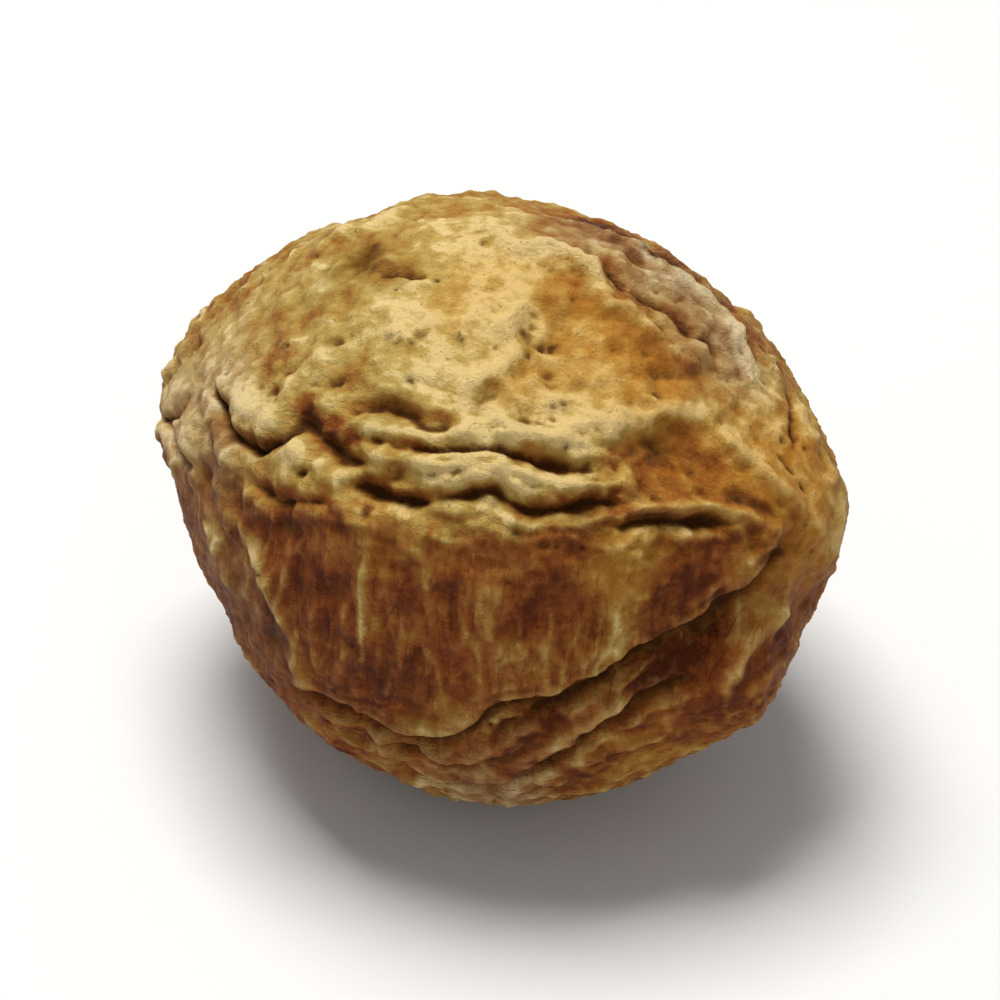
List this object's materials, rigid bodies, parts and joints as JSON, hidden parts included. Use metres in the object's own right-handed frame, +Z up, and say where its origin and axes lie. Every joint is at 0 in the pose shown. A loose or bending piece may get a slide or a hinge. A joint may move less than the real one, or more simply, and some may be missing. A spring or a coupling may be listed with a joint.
{
  "type": "dried chebulic myrobalan",
  "caption": "Whole dried chebulic myrobalan: a ribbed ovoid fruit with a leathery wrinkled skin, lying on its side on a small flat.",
  "frame": {"origin": "centre of the bounding box's bottom face, in the plane of the small flat the fruit lies on", "axes": "+X along the fruit from the stalk scar to the tip, +Z up with the fruit lying on its side, -Y toward the side with the double crease"},
  "size_m": [0.0418, 0.035, 0.0342],
  "materials": {
    "skin": "satin, uneven and mealy"
  },
  "bodies": {
    "root": {"dried_fruit": "skin"}
  },
  "joints": []
}
